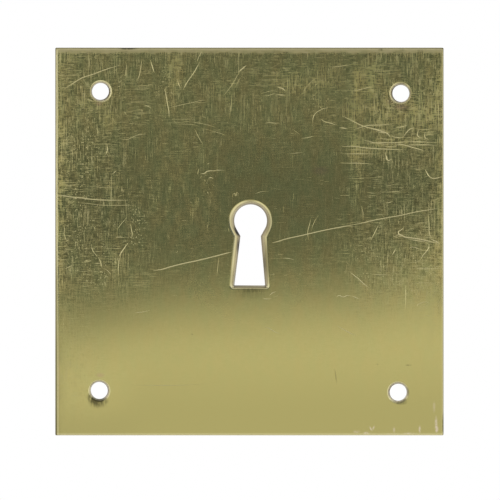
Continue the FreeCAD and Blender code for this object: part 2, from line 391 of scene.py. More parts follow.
CROSSING_RIGHT = (
    (0.31, (23.1, 29.2), (24.2, 29.1), (25.2, 28.9)),
    (0.25, (23.8, 32.3), (26.6, 30.9), (29.3, 29.6), (32.1, 28.9), (35.9, 28.3)),
    (0.25, (26.9, 28.7), (30.0, 29.7), (33.5, 29.9), (36.9, 30.2)),
    (0.31, (31.4, 28.9), (33.5, 28.4), (35.5, 27.7), (36.2, 26.8)),
    (0.26, (32.5, 28.2), (34.5, 27.9), (36.0, 27.9)),
    (0.25, (26.6, 27.5), (28.7, 26.5)),
    (0.29, (37.6, 29.2), (39.0, 29.4), (40.7, 29.9)),
    (0.26, (36.2, 27.1), (37.8, 26.7), (39.7, 26.6)),
    (0.25, (39.3, 26.5), (40.6, 28.2), (41.4, 28.9), (42.4, 29.2)),
    (0.26, (42.1, 29.0), (41.7, 27.0)),
    (0.26, (43.5, 28.9), (43.4, 26.9), (44.8, 26.8)),
    (0.24, (45.2, 28.2), (45.2, 26.6), (46.0, 26.3)),
    (0.27, (39.7, 25.6), (43.0, 25.6), (48.6, 25.4)),
    (0.29, (40.4, 24.7), (44.0, 24.8), (48.3, 24.7)),
    (0.25, (29.0, 25.2), (33.5, 25.4), (38.6, 25.4), (40.4, 25.8)),
    (0.27, (23.8, 24.4), (27.0, 24.4), (30.0, 24.0), (35.2, 23.7), (40.4, 23.5)),
    (0.27, (37.0, 24.6), (39.0, 24.9), (41.0, 24.4), (43.5, 23.7), (44.8, 23.4)),
    (0.24, (34.0, 24.6), (36.4, 24.3), (38.0, 24.4)),
    (0.25, (23.8, 22.5), (28.0, 22.5), (32.1, 22.5)),
    (0.24, (23.5, 20.1), (27.5, 20.1), (31.8, 19.9)),
    (0.24, (28.0, 21.6), (31.6, 21.7)),
    (0.27, (34.9, 22.7), (35.3, 21.6), (35.5, 20.9), (36.0, 20.8), (36.6, 21.3)),
    (0.25, (45.2, 18.5), (45.9, 17.2), (46.6, 16.4), (47.3, 16.2), (48.4, 16.3), (49.4, 16.6)),
    (0.21, (24.5, 36.8), (27.6, 36.4)),
    (0.21, (29.3, 34.4), (32.8, 34.0)),
    (0.20, (46.2, 6.5), (46.2, 1.0)),
    (0.20, (47.6, 6.5), (47.6, 1.5)),
    (0.17, (16.9, 36.8), (18.3, 34.4)),
    (0.18, (28.9, 26.2), (31.2, 25.6), (34.4, 25.0), (37.6, 24.9)),
    (0.17, (26.3, 21.1), (29.6, 20.4)),
    (0.17, (24.2, 26.9), (26.0, 27.1)),
    (0.18, (32.2, 26.6), (35.0, 26.3), (37.5, 26.1)),
    (0.17, (34.6, 28.8), (38.0, 28.5)),
    (0.17, (38.6, 27.9), (41.3, 27.4)),
    (0.17, (37.0, 23.1), (41.0, 22.9)),
    (0.17, (43.0, 24.2), (47.0, 24.0)),
    (0.15, (24.5, 23.4), (27.5, 23.6), (31.0, 23.2)),
    (0.12, (25.3, 31.2), (25.3, 22.0)),
    (0.12, (26.3, 30.0), (26.2, 20.8)),
    (0.12, (44.6, 30.5), (44.6, 22.5)),
    (0.12, (37.9, 31.5), (37.8, 28.0)),
)
MIDDLE_LEFT = (
    (0.28, (-49.3, 11.9), (-47.5, 11.7), (-45.8, 11.4), (-42.7, 11.1),
     (-40.5, 10.8), (-37.5, 10.6), (-31.2, 10.6)),
    (0.14, (-37.3, 18.0), (-35.6, 18.0)),
    (0.14, (-37.3, 17.0), (-36.0, 17.0)),
    (0.21, (-35.3, 17.2), (-34.6, 17.8), (-34.0, 18.2)),
    (0.21, (-33.9, 18.3), (-32.2, 18.3)),
    (0.21, (-33.6, 17.6), (-33.3, 17.4)),
    (0.14, (-35.4, 17.0), (-35.5, 12.0), (-35.5, 8.4)),
    (0.13, (-35.5, 8.4), (-35.5, 4.5)),
    (0.13, (-37.3, 15.2), (-35.7, 15.2)),
    (0.13, (-37.3, 14.3), (-35.8, 14.3)),
    (0.14, (-37.4, 13.6), (-35.6, 13.6)),
    (0.13, (-36.9, 12.7), (-35.8, 12.7)),
    (0.21, (-36.9, 11.8), (-36.3, 11.7)),
    (0.13, (-33.5, 13.9), (-31.2, 13.9)),
    (0.11, (-32.8, 14.3), (-31.4, 14.3)),
    (0.21, (-34.0, 14.2), (-33.9, 13.6)),
    (0.12, (-44.0, 9.9), (-42.0, 9.8), (-39.0, 9.4), (-35.3, 9.2), (-31.2, 9.3), (-29.6, 9.2)),
    (0.15, (-47.8, 8.7), (-46.4, 8.7)),
    (0.16, (-47.9, 12.1), (-46.3, 12.2)),
    (0.16, (-45.7, 13.8), (-45.6, 11.8)),
    (0.14, (-41.6, 12.5), (-42.0, 11.4)),
    (0.12, (-31.5, 6.2), (-32.4, 5.1), (-33.4, 3.9), (-34.0, 2.9)),
    (0.12, (-33.9, 3.5), (-34.0, 0.0)),
    (0.21, (-34.3, 1.0), (-33.2, 1.1), (-32.2, 1.0)),
    (0.13, (-32.2, 1.0), (-31.2, 1.0)),
    (0.45, (-28.8, 5.6), (-28.6, 5.2)),
    (0.20, (-29.9, 4.8), (-29.2, 4.2)),
    (0.15, (-29.3, 4.0), (-28.7, 2.6)),
    (0.15, (-28.5, 3.8), (-28.2, 2.5)),
    (0.17, (-30.5, 4.6), (-30.3, 3.0), (-30.1, 2.0), (-30.3, 0.6)),
    (0.20, (-30.5, 0.4), (-30.2, -0.3)),
    (0.16, (-28.9, 0.8), (-28.1, 0.2)),
    (0.16, (-27.3, 1.0), (-26.9, 0.8)),
    (0.12, (-36.8, 4.1), (-35.9, 4.1)),
    (0.12, (-38.4, 4.6), (-38.3, 2.4)),
    (0.13, (-40.4, 8.5), (-40.4, 4.2)),
    (0.12, (-40.5, 4.3), (-39.9, 3.6), (-39.6, 2.8)),
    (0.35, (-41.9, 22.9), (-42.1, 22.2)),
    (0.21, (-41.6, 21.5), (-40.1, 21.7)),
    (0.28, (-40.6, 23.8), (-40.3, 23.5)),
    (0.28, (-41.7, 23.9), (-41.4, 23.4)),
    (0.21, (-36.6, 25.0), (-36.5, 23.8), (-36.6, 23.0), (-37.0, 22.3)),
    (0.14, (-36.3, 20.8), (-34.7, 20.8)),
    (0.18, (-35.3, 22.2), (-34.7, 22.1)),
    (0.21, (-45.6, 21.6), (-45.5, 20.3)),
    (0.20, (-44.6, 21.2), (-44.3, 20.6)),
    (0.16, (-44.5, 19.9), (-43.0, 19.9), (-42.4, 20.2)),
    (0.14, (-47.4, 21.7), (-47.3, 21.0)),
    (0.12, (-45.5, 22.7), (-44.6, 22.7)),
    (0.15, (-42.7, 20.3), (-42.7, 19.3)),
    (0.14, (-41.2, 20.4), (-41.1, 19.6)),
    (0.14, (-40.2, 20.7), (-39.6, 20.6)),
    (0.14, (-44.6, 17.2), (-44.5, 16.0)),
    (0.14, (-43.9, 17.3), (-43.3, 16.8), (-42.4, 17.2)),
    (0.15, (-42.8, 13.2), (-42.0, 13.1)),
    (0.12, (-49.0, 24.6), (-47.5, 24.5)),
    (0.14, (-47.4, -0.1), (-46.8, 0.2), (-46.2, 0.6)),
    (0.13, (-47.6, 0.0), (-43.6, 0.0)),
    (0.12, (-47.9, 4.5), (-47.5, 3.2), (-47.6, 2.0), (-47.2, 0.8), (-46.9, 0.1)),
)
MIDDLE = (
    (0.35, (-13.0, 18.5), (-13.3, 17.4)),
    (0.28, (-12.5, 17.4), (-11.4, 17.5), (-11.0, 17.9), (-10.2, 18.1), (-8.6, 18.1)),
    (0.19, (-9.4, 18.2), (-7.9, 18.3), (-6.4, 18.3)),
    (0.11, (-16.8, 18.3), (-15.0, 18.3)),
    (0.11, (-16.8, 17.5), (-15.0, 17.5)),
    (0.42, (-10.8, 19.8), (-10.2, 20.2)),
    (0.23, (-12.7, 16.1), (-12.2, 16.9)),
    (0.36, (-11.6, 15.8), (-11.3, 15.5)),
    (0.26, (-10.5, 16.2), (-10.0, 16.4), (-9.3, 16.2)),
    (0.20, (-10.9, 15.2), (-10.5, 16.0)),
    (0.28, (-10.4, 13.3), (-10.1, 13.6)),
    (0.25, (-10.8, 12.8), (-10.7, 12.4)),
    (0.17, (-9.4, 14.5), (-8.4, 14.1)),
    (0.20, (-8.9, 16.9), (-8.6, 16.7)),
    (0.17, (-11.3, 22.5), (-11.2, 21.5)),
    (0.11, (-8.4, 21.6), (-7.2, 21.6)),
    (0.25, (-15.2, 10.2), (-14.7, 9.8)),
    (0.26, (-10.7, 4.2), (-10.8, 3.5)),
    (0.15, (-10.7, 3.5), (-10.9, 2.3)),
    (0.26, (-17.3, 5.4), (-16.2, 5.4)),
    (0.20, (-22.7, 6.4), (-22.1, 6.4)),
    (0.15, (-17.7, 12.4), (-17.6, 11.2)),
    (0.13, (-4.4, 11.3), (-3.8, 12.4), (-3.5, 11.6), (-3.2, 12.6), (-2.9, 11.4)),
    (0.28, (-5.4, 3.4), (-5.2, 2.4)),
    (0.11, (10.7, 22.4), (10.6, 20.2)),
    (0.13, (11.2, 22.5), (11.1, 19.0)),
    (0.14, (10.1, 22.6), (12.0, 22.7), (13.8, 22.9)),
    (0.13, (5.9, 22.4), (8.1, 22.5)),
    (0.15, (11.8, 16.0), (14.1, 16.0)),
    (0.13, (14.1, 15.8), (15.9, 15.7)),
    (0.12, (14.2, 16.5), (16.0, 16.4)),
    (0.20, (18.2, 15.7), (19.0, 15.7)),
    (0.20, (19.3, 15.4), (20.4, 15.4)),
    (0.17, (18.3, 14.6), (18.8, 14.6)),
    (0.20, (23.4, 20.3), (24.4, 20.3)),
    (0.20, (23.5, 24.6), (24.3, 24.5)),
    (0.30, (23.4, 11.8), (25.7, 11.8)),
    (0.20, (22.0, 11.2), (23.2, 11.1)),
    (0.13, (1.4, 12.2), (2.8, 12.7), (4.9, 12.9)),
    (0.12, (6.0, 13.6), (7.8, 13.4)),
    (0.19, (11.4, 12.3), (11.4, 10.9)),
    (0.17, (8.8, 9.0), (8.8, 7.5)),
    (0.12, (14.1, 11.6), (16.1, 11.6)),
    (0.13, (6.2, 4.9), (9.5, 4.8)),
    (0.15, (6.3, 8.5), (7.2, 8.4)),
    (0.26, (5.8, -0.4), (7.5, 0.0), (9.0, 0.5), (13.0, 1.4), (16.0, 2.1),
     (20.0, 3.0), (24.0, 3.75), (27.6, 4.45)),
    (0.12, (15.8, 5.8), (15.5, 4.5), (15.1, 3.0), (15.0, 2.0), (15.3, 0.2)),
    (0.11, (17.8, 6.8), (16.5, 4.6), (15.9, 2.6)),
    (0.17, (14.7, 0.9), (14.3, 0.2)),
)
MIDDLE_RIGHT = (
    (0.26, (24.0, 3.75), (30.5, 5.05)),
    (0.15, (26.5, 4.4), (28.2, 4.5)),
    (0.23, (26.6, 4.25), (29.4, 4.8), (31.0, 5.2), (35.0, 6.0), (39.0, 6.7),
     (43.0, 7.6), (45.5, 8.0), (48.8, 8.5)),
    (0.13, (44.5, 7.3), (46.3, 7.4)),
    (0.15, (33.3, 4.5), (32.6, 3.0), (32.0, 1.8), (31.2, 0.2)),
    (0.13, (29.2, 5.3), (29.2, 7.5), (28.8, 9.0)),
    (0.34, (37.7, 1.6), (38.8, 1.7), (40.0, 1.1), (41.5, 0.9), (43.5, 0.6), (45.5, 0.2), (48.4, -0.5)),
    (0.25, (39.8, 3.6), (39.0, 2.9), (38.3, 2.4), (38.8, 1.6), (39.6, 1.2)),
    (0.19, (37.0, 1.5), (37.6, 1.1), (38.3, 1.1)),
    (0.26, (41.0, 0.5), (43.0, 0.2), (45.7, -0.2)),
    (0.20, (37.6, 3.4), (37.7, 3.0)),
    (0.15, (45.9, 7.0), (46.2, 4.0), (46.3, 2.0), (46.7, 0.9)),
    (0.28, (46.5, 0.8), (47.2, 0.3), (48.2, -0.1), (49.0, -0.8)),
    (0.17, (47.8, 6.8), (47.8, 4.2)),
    (0.28, (47.2, 3.7), (47.7, 3.6)),
    (0.15, (47.8, 3.2), (47.8, 0.5)),
    (0.15, (46.5, 22.0), (46.5, 19.0)),
    (0.19, (43.6, 20.6), (43.7, 19.8)),
    (0.26, (43.3, 19.4), (43.8, 19.3)),
    (0.20, (43.6, 15.6), (43.6, 14.9)),
    (0.26, (25.3, 22.4), (25.4, 21.8)),
    (0.28, (35.0, 21.3), (35.5, 21.7)),
    (0.20, (36.3, 21.0), (36.8, 21.0)),
    (0.17, (25.6, 13.8), (25.6, 12.3)),
    (0.15, (25.0, 6.9), (26.0, 6.9)),
    (0.15, (30.3, 12.6), (31.5, 12.4), (32.6, 12.3)),
    (0.17, (30.5, 11.9), (33.5, 11.6)),
    (0.20, (35.0, 10.1), (36.0, 10.0), (36.8, 10.3)),
    (0.15, (35.1, 10.9), (36.0, 10.6)),
    (0.13, (43.0, 3.6), (45.0, 3.6)),
    (0.11, (39.0, 4.9), (42.0, 4.9)),
    (0.11, (42.0, 2.3), (44.5, 2.2)),
    (0.20, (46.1, 9.8), (47.2, 9.8)),
    (0.17, (47.2, 10.9), (47.2, 10.1)),
)
LOWER_LEFT = (
    (0.23, (-31.1, -0.3), (-32.2, -1.8), (-33.0, -3.0), (-33.5, -3.9)),
    (0.16, (-33.5, -3.7), (-33.5, -5.0), (-33.7, -7.0), (-33.6, -9.0)),
    (0.16, (-40.6, -0.8), (-40.3, -2.2), (-39.5, -3.4), (-39.0, -4.1)),
    (0.12, (-39.7, -1.4), (-38.8, -1.6)),
    (0.16, (-38.8, -4.1), (-38.3, -5.0), (-38.0, -6.2), (-37.8, -6.7)),
    (0.14, (-37.6, -6.9), (-36.6, -7.4), (-36.0, -8.0), (-35.5, -8.7)),
    (0.21, (-35.2, -9.0), (-34.9, -9.5)),
    (0.19, (-37.9, -9.8), (-36.4, -9.8)),
    (0.12, (-38.1, -8.8), (-38.1, -10.8)),
    (0.13, (-38.1, -0.2), (-38.1, -6.8)),
    (0.12, (-42.8, -2.9), (-42.8, -4.7)),
    (0.23, (-47.3, -7.0), (-46.2, -6.5), (-45.0, -6.0)),
    (0.21, (-47.0, -4.9), (-46.3, -5.9)),
    (0.16, (-48.8, -5.1), (-46.7, -5.2)),
    (0.14, (-48.6, -3.9), (-47.4, -4.2)),
    (0.23, (-41.9, -13.4), (-41.0, -13.4)),
    (0.16, (-43.8, -18.8), (-42.4, -18.8)),
    (0.14, (-46.9, -19.8), (-45.2, -19.8)),
    (0.12, (-43.9, -19.4), (-41.7, -19.3)),
    (0.14, (-43.7, -21.9), (-41.5, -21.9)),
    (0.12, (-46.0, -18.8), (-44.6, -18.8)),
    (0.13, (-38.5, -16.8), (-35.4, -16.8)),
    (0.13, (-38.0, -17.7), (-35.8, -17.5)),
    (0.16, (-29.5, -18.4), (-28.8, -18.3), (-27.0, -18.1), (-25.5, -17.6)),
    (0.13, (-29.0, -1.9), (-26.8, -1.8)),
    (0.14, (-26.6, -2.3), (-25.1, -2.3)),
    (0.13, (-28.9, -2.6), (-25.5, -2.5)),
    (0.11, (-35.4, -7.5), (-34.4, -7.5)),
    (0.30, (-24.6, -7.5), (-22.0, -7.1), (-20.8, -6.7), (-16.0, -5.5),
     (-14.0, -5.1), (-6.0, -3.1), (-4.5, -2.7)),
    (0.10, (-7.7, -3.4), (-8.0, -5.5), (-8.2, -7.5), (-8.4, -9.0)),
    (0.23, (-5.7, -6.0), (-5.3, -6.1)),
    (0.21, (-15.1, -1.9), (-14.4, -1.9)),
    (0.16, (-18.8, -0.7), (-18.6, -1.5)),
    (0.21, (-18.7, -2.9), (-18.4, -2.5)),
    (0.12, (-23.9, -1.8), (-22.6, -1.9)),
    (0.13, (-12.2, -5.6), (-9.3, -5.4)),
    (0.20, (-19.5, -14.0), (-18.7, -13.8)),
)
LOWER_RIGHT = (
    (0.24, (7.3, -3.3), (8.6, -3.4)),
    (0.17, (4.9, -2.8), (6.7, -2.8)),
    (0.15, (5.2, -4.4), (7.8, -4.4)),
    (0.18, (8.0, -4.3), (10.2, -4.4), (11.6, -4.8)),
    (0.15, (6.0, -1.5), (7.3, -1.3)),
    (0.32, (5.6, -8.6), (6.5, -8.4)),
    (0.21, (8.9, -8.9), (9.8, -8.5)),
    (0.24, (12.7, -8.5), (13.1, -8.4)),
    (0.24, (5.2, -13.9), (5.9, -13.3), (6.9, -12.9)),
    (0.21, (6.2, -14.3), (7.3, -13.9)),
    (0.22, (3.4, -14.6), (4.2, -14.8), (5.8, -14.7)),
    (0.17, (3.3, -13.4), (3.9, -13.2)),
    (0.24, (22.4, -14.3), (23.0, -13.9), (24.1, -14.3), (25.0, -14.0), (26.0, -13.9)),
    (0.22, (26.0, -13.9), (27.3, -14.4), (28.4, -14.9)),
    (0.16, (3.9, -22.0), (5.2, -22.4), (6.5, -23.2), (8.5, -24.0)),
    (0.17, (22.3, -21.5), (24.0, -22.5), (26.0, -23.6), (27.6, -24.3)),
    (0.17, (16.5, -1.3), (17.7, -1.2)),
    (0.15, (22.5, -5.2), (24.5, -5.3)),
    (0.21, (25.0, -5.3), (25.4, -5.8)),
    (0.22, (24.4, -7.9), (24.9, -7.6)),
    (0.24, (26.0, -8.0), (27.0, -8.8), (28.5, -10.0), (29.5, -11.0), (30.9, -12.0)),
    (0.17, (27.2, -8.0), (28.4, -9.2)),
    (0.18, (31.3, -8.5), (33.5, -8.6), (36.5, -8.5)),
    (0.17, (32.7, -6.5), (36.0, -6.4)),
    (0.15, (36.6, -6.6), (38.5, -6.5)),
    (0.16, (37.5, -7.1), (38.9, -7.6)),
    (0.16, (40.9, -7.2), (44.0, -7.1)),
    (0.17, (41.0, -5.7), (42.9, -5.6)),
    (0.22, (37.6, -1.9), (37.2, -2.7), (36.6, -3.7)),
    (0.17, (37.9, -0.9), (37.7, -2.0)),
    (0.16, (40.8, 0.2), (40.8, -1.8)),
    (0.17, (41.0, -2.0), (41.6, -1.5), (43.0, -1.7), (44.9, -2.5)),
    (0.15, (33.3, -6.2), (33.3, -8.6)),
    (0.17, (33.1, -9.0), (33.0, -11.0)),
    (0.17, (33.9, -9.3), (33.9, -10.8)),
    (0.24, (36.4, -9.7), (36.8, -9.5)),
    (0.24, (34.3, -4.0), (34.5, -4.5)),
    (0.17, (34.9, -3.3), (34.8, -3.7)),
    (0.17, (28.6, 0.2), (28.4, -0.5)),
    (0.17, (29.2, -0.6), (29.9, -1.1)),
    (0.22, (26.7, -2.2), (27.1, -2.5)),
    (0.22, (46.2, -0.6), (46.1, -1.6), (45.5, -2.6), (44.8, -3.4), (43.9, -4.8)),
    (0.17, (46.3, -1.5), (46.2, -4.0)),
    (0.17, (47.4, -2.0), (47.5, -4.2)),
    (0.22, (45.8, -4.0), (45.5, -5.2)),
    (0.17, (48.5, -4.6), (48.7, -5.2)),
    (0.17, (39.6, -9.5), (39.4, -12.5)),
    (0.17, (40.2, -7.5), (40.3, -13.8)),
    (0.20, (35.6, -12.2), (35.6, -13.8)),
    (0.17, (43.3, -8.5), (43.4, -11.5)),
    (0.17, (44.1, -9.0), (44.4, -11.5)),
    (0.17, (45.6, -8.5), (45.2, -11.5)),
    (0.17, (46.5, -6.0), (46.3, -9.0)),
    (0.17, (48.7, -9.0), (48.8, -11.8)),
    (0.17, (43.2, -6.8), (43.9, -7.6)),
    (0.16, (43.1, -16.8), (43.3, -16.2), (45.0, -16.2)),
    (0.20, (44.8, -16.8), (46.2, -16.0)),
    (0.22, (45.2, -18.9), (46.4, -19.2)),
    (0.15, (43.0, -16.4), (44.8, -15.6), (46.6, -15.8)),
    (0.14, (40.0, -10.6), (40.2, -14.2), (40.1, -17.6)),
    (0.13, (43.2, -10.8), (43.3, -15.0)),
    (0.13, (46.8, -10.2), (46.7, -15.5)),
    (0.13, (41.6, -13.0), (41.7, -18.5)),
    (0.13, (-30.4, -36.9), (-22.0, -37.0), (-11.2, -36.8)),
)
SCRATCHES = UPPER_LEFT + UPPER_MIDDLE + UPPER_RIGHT + CROSSING_RIGHT
SCRATCHES += MIDDLE_LEFT + MIDDLE + MIDDLE_RIGHT + LOWER_LEFT + LOWER_RIGHT


class Shade:
    """One output of a material's nodes. Sums on it add their Math nodes."""

    def __init__(self, tree, socket=None):
        self.tree = tree
        self.socket = socket

    def node(self, kind, settings=None, sockets=None, output=0):
        """Adds a node: first its settings, then the values or links of its sockets."""
        made = self.tree.nodes.new("ShaderNode" + kind)
        for name, value in (settings or {}).items():
            setattr(made, name, value)
        for name, value in (sockets or {}).items():
            if isinstance(value, Shade):
                self.tree.links.new(value.socket, made.inputs[name])
            else:
                made.inputs[name].default_value = value
        return Shade(self.tree, made.outputs[output] if made.outputs else None)

    def math(self, operation, first, second=0.0, clamp=False):
        settings = {"operation": operation, "use_clamp": clamp}
        return self.node("Math", settings, {0: first, 1: second})

    def __add__(self, other):
        return self.math("ADD", self, other)

    def __radd__(self, other):
        return self.math("ADD", other, self)

    def __sub__(self, other):
        return self.math("SUBTRACT", self, other)

    def __rsub__(self, other):
        return self.math("SUBTRACT", other, self)

    def __mul__(self, other):
        return self.math("MULTIPLY", self, other)

    def __rmul__(self, other):
        return self.math("MULTIPLY", other, self)

    def ramp(self, low, high):
        """0 below low and 1 above high, or the other way round where low is the higher."""
        sockets = {"Value": self, "From Min": low, "From Max": high}
        return self.node("MapRange", {"interpolation_type": "SMOOTHSTEP"}, sockets)

    def most(self, other):
        return self.math("MAXIMUM", self, other)

    def capped(self):
        return self.math("ADD", self, 0.0, clamp=True)


def material(name):
    """A new material with an empty tree, and the Shade that its nodes are made from."""
    made = bpy.data.materials.new(name)
    made.use_nodes = True
    made.node_tree.nodes.clear()
    return made, Shade(made.node_tree)


def blend(shade, share, first, second):
    """Mixes two colours."""
    settings = {"data_type": "RGBA"}
    return shade.node("Mix", settings, {"Factor": share, "A": first, "B": second}, "Result")


# The camera

def photo_camera():
    """A long lens, square to the plate."""
    place = (CAMERA_X, FRONT_Y - CAMERA_DISTANCE, CAMERA_Z)
    bpy.ops.object.camera_add(location=place, rotation=(math.pi / 2, 0, 0))
    camera = bpy.context.object
    camera.data.sensor_width = SENSOR
    camera.data.lens = SENSOR * CAMERA_DISTANCE / PICTURE_WIDTH
    bpy.context.scene.camera = camera


# The studio

def studio_light():
    """Even white light from all round."""
    world = bpy.data.worlds.new("studio_light")
    bpy.context.scene.world = world
    world.use_nodes = True
    world.node_tree.nodes["Background"].inputs["Color"].default_value = WHITE


def floor():
    """A pale sheet that runs under the plate and sweeps up behind it."""
    bpy.ops.mesh.primitive_plane_add(size=1)
    sheet = bpy.context.object
    sheet.name = "floor"
    depth = FLOOR_BACK - FLOOR_FRONT
    sheet.data.transform(Matrix.Diagonal((2 * FLOOR_HALF_WIDTH, depth, 1, 1)))
    sheet.data.transform(Matrix.Translation((0, FLOOR_FRONT + depth / 2, FLOOR_Z)))
    bpy.ops.object.mode_set(mode="EDIT")
    bpy.ops.mesh.select_all(action="DESELECT")
    bpy.ops.object.mode_set(mode="OBJECT")
    for edge in sheet.data.edges:
        edge.select = all(sheet.data.vertices[v].co.y > FLOOR_BACK - MM for v in edge.vertices)
    bpy.ops.object.mode_set(mode="EDIT")
    bpy.ops.mesh.select_mode(type="EDGE")
    rise = (0, 0, BACKDROP_TOP - FLOOR_Z)
    bpy.ops.mesh.extrude_edges_move(TRANSFORM_OT_translate={"value": rise})
    bpy.ops.object.mode_set(mode="OBJECT")
    for edge in sheet.data.edges:
        ends = [sheet.data.vertices[v].co for v in edge.vertices]
        edge.select = all(c.y > FLOOR_BACK - MM and c.z < FLOOR_Z + MM for c in ends)
    bpy.ops.object.mode_set(mode="EDIT")
    bpy.ops.mesh.bevel(offset=BACKDROP_BEND, segments=16)
    bpy.ops.object.mode_set(mode="OBJECT")
    bpy.ops.object.shade_smooth()
    sheet.data.materials.append(floor_white())


def floor_white():
    """Matt white under the plate, which keeps its shadow, and plain white further off."""
    made, shade = material("floor_white")
    place = shade.node("TexCoord", output="Object")
    across = shade.node("VectorMath", {"operation": "MULTIPLY"}, {0: place, 1: (1, 1, 0)})
    away = shade.node("VectorMath", {"operation": "LENGTH"}, {0: across}, "Value")
    rays = [shade.node("LightPath", output=f"Is {kind} Ray") for kind in ("Camera", "Glossy", "Transmission")]
    seen = rays[0].most(rays[1]).most(rays[2]) * away.ramp(*FLOOR_FADE)
    matt = shade.node("BsdfDiffuse", sockets={"Color": FLOOR_WHITE})
    plain = shade.node("Emission", sockets={"Color": WHITE})
    surface = shade.node("MixShader", sockets={0: seen, 1: matt, 2: plain})
    shade.node("OutputMaterial", sockets={"Surface": surface})
    return made


def dark_card():
    """The dark side of the studio, behind the camera, that the upper part of the plate mirrors."""
    bpy.ops.mesh.primitive_plane_add(size=1)
    card = bpy.context.object
    card.name = "dark_card"
    width = CARD_RIGHT - CARD_LEFT
    height = CARD_TOP - CARD_FOOT
    card.data.transform(Matrix.Diagonal((width, height, 1, 1)))
    card.data.transform(Matrix.Rotation(math.pi / 2, 4, "X"))
    card.data.transform(Matrix.Translation((CARD_LEFT + width / 2, CARD_Y, CARD_FOOT + height / 2)))
    made, shade = material("card_grey")
    place = shade.node("TexCoord", output="Object")
    x = shade.node("SeparateXYZ", sockets={0: place}, output="X") * (1 / MM)
    z = shade.node("SeparateXYZ", sockets={0: place}, output="Z") * (1 / MM)
    edge = z - x * CARD_LEAN + x.ramp(*CARD_LEFT_BEND) * CARD_LEFT_DROP
    edge -= x.ramp(*CARD_RIGHT_BEND) * CARD_RIGHT_RISE
    dark = edge.ramp(*CARD_FADE)
    grey = blend(shade, dark * dark * dark, WHITE, CARD_GREY)
    light = shade.node("Emission", sockets={"Color": grey})
    shade.node("OutputMaterial", sockets={"Surface": light})
    card.data.materials.append(made)
    card.visible_camera = False
    card.visible_shadow = False


def overhead_card():
    """A grey ceiling that only the brass mirrors: it shapes the faces that look up."""
    bpy.ops.mesh.primitive_plane_add(size=2 * OVERHEAD_HALF_WIDTH, location=(0, 0, OVERHEAD_Z))
    card = bpy.context.object
    card.name = "overhead_card"
    made, shade = material("overhead_grey")
    light = shade.node("Emission", sockets={"Color": OVERHEAD_GREY})
    shade.node("OutputMaterial", sockets={"Surface": light})
    card.data.materials.append(made)
    card.visible_camera = card.visible_diffuse = card.visible_shadow = False


# The plate

def merge_corners():
    """Joins the corners that lie on each other in the active mesh."""
    bpy.ops.object.mode_set(mode="EDIT")
    bpy.ops.mesh.select_all(action="SELECT")
    bpy.ops.mesh.remove_doubles(threshold=1e-7)
    bpy.ops.object.mode_set(mode="OBJECT")


def scratch_cutter():
    """A thin diamond-shaped bar along each scratch, half sunk in the front face."""
    curve = bpy.data.curves.new("scratch_cutter", "CURVE")
    curve.dimensions = "3D"
    curve.twist_mode = "Z_UP"
    curve.bevel_depth = MM / 2
    curve.bevel_resolution = 0
    curve.resolution_u = 3
    curve.use_fill_caps = True
    for width, *points in SCRATCHES:
        line = curve.splines.new("BEZIER")
        line.bezier_points.add(len(points) - 1)
        for stop, (x, z) in zip(line.bezier_points, points):
            stop.co = (x * MM, z * MM, 0)
            stop.handle_left_type = stop.handle_right_type = "AUTO"
            stop.radius = width
        line.bezier_points[0].radius = line.bezier_points[-1].radius = GROOVE_TIP * width
    cutter = bpy.data.objects.new("scratch_cutter", curve)
    bpy.context.collection.objects.link(cutter)
    bpy.ops.object.select_all(action="DESELECT")
    cutter.select_set(True)
    bpy.context.view_layer.objects.active = cutter
    bpy.ops.object.convert(target="MESH")
    cutter = bpy.context.object
    merge_corners()
    cutter.data.transform(Matrix.Diagonal((1, 1, GROOVE_SLOPE, 1)))
    cutter.data.transform(Matrix.Rotation(math.pi / 2, 4, "X"))
    cutter.data.transform(Matrix.Translation((0, FRONT_Y - GROOVE_RAISE, 0)))
    return cutter


def escutcheon_plate():
    """The plate, with its scratches cut into the front face."""
    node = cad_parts["escutcheon_plate"]
    plate = node.copy()
    plate.data = node.data.copy()
    plate.name = "brass_plate"
    bpy.context.collection.objects.link(plate)
    cutter = scratch_cutter()
    bpy.ops.object.select_all(action="DESELECT")
    plate.select_set(True)
    bpy.context.view_layer.objects.active = plate
    bpy.ops.mesh.customdata_custom_splitnormals_clear()
    merge_corners()
    cut = plate.modifiers.new("scratches", "BOOLEAN")
    cut.operation = "DIFFERENCE"
    cut.solver = "EXACT"
    cut.use_self = True
    cut.object = cutter
    bpy.ops.object.modifier_apply(modifier="scratches")
    bpy.data.objects.remove(cutter)
    bpy.ops.object.shade_smooth_by_angle(angle=math.radians(SMOOTH_ANGLE))
    for face in plate.data.polygons:
        face.use_smooth = face.normal.y > FLAT_FRONT
    even = plate.modifiers.new("even_faces", "WEIGHTED_NORMAL")
    even.keep_sharp = True
    bpy.ops.object.modifier_apply(modifier="even_faces")
    plate.data.materials.clear()
    plate.data.materials.append(worn_brass())
    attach(plate, "root")
    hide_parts("escutcheon_plate")


def noise(shade, place, size, detail):
    """Soft random values about 0.5, with bumps of the given size in mm."""
    return shade.node("TexNoise", sockets={"Vector": place, "Scale": 1 / size, "Detail": detail})


def hairlines(shade, place, lean, width, length, low, high):
    """Short straight lines that lean alike: 1 on a line and 0 between them. Sizes in mm."""
    sockets = {"Vector": place, "Location": (11 * width, 0, 7 * length), "Scale": (length, 1, width)}
    sockets["Rotation"] = (0, math.radians(lean), 0)
    stretched = shade.node("Mapping", {"vector_type": "TEXTURE"}, sockets)
    return noise(shade, stretched, 1, 1).ramp(low, high)


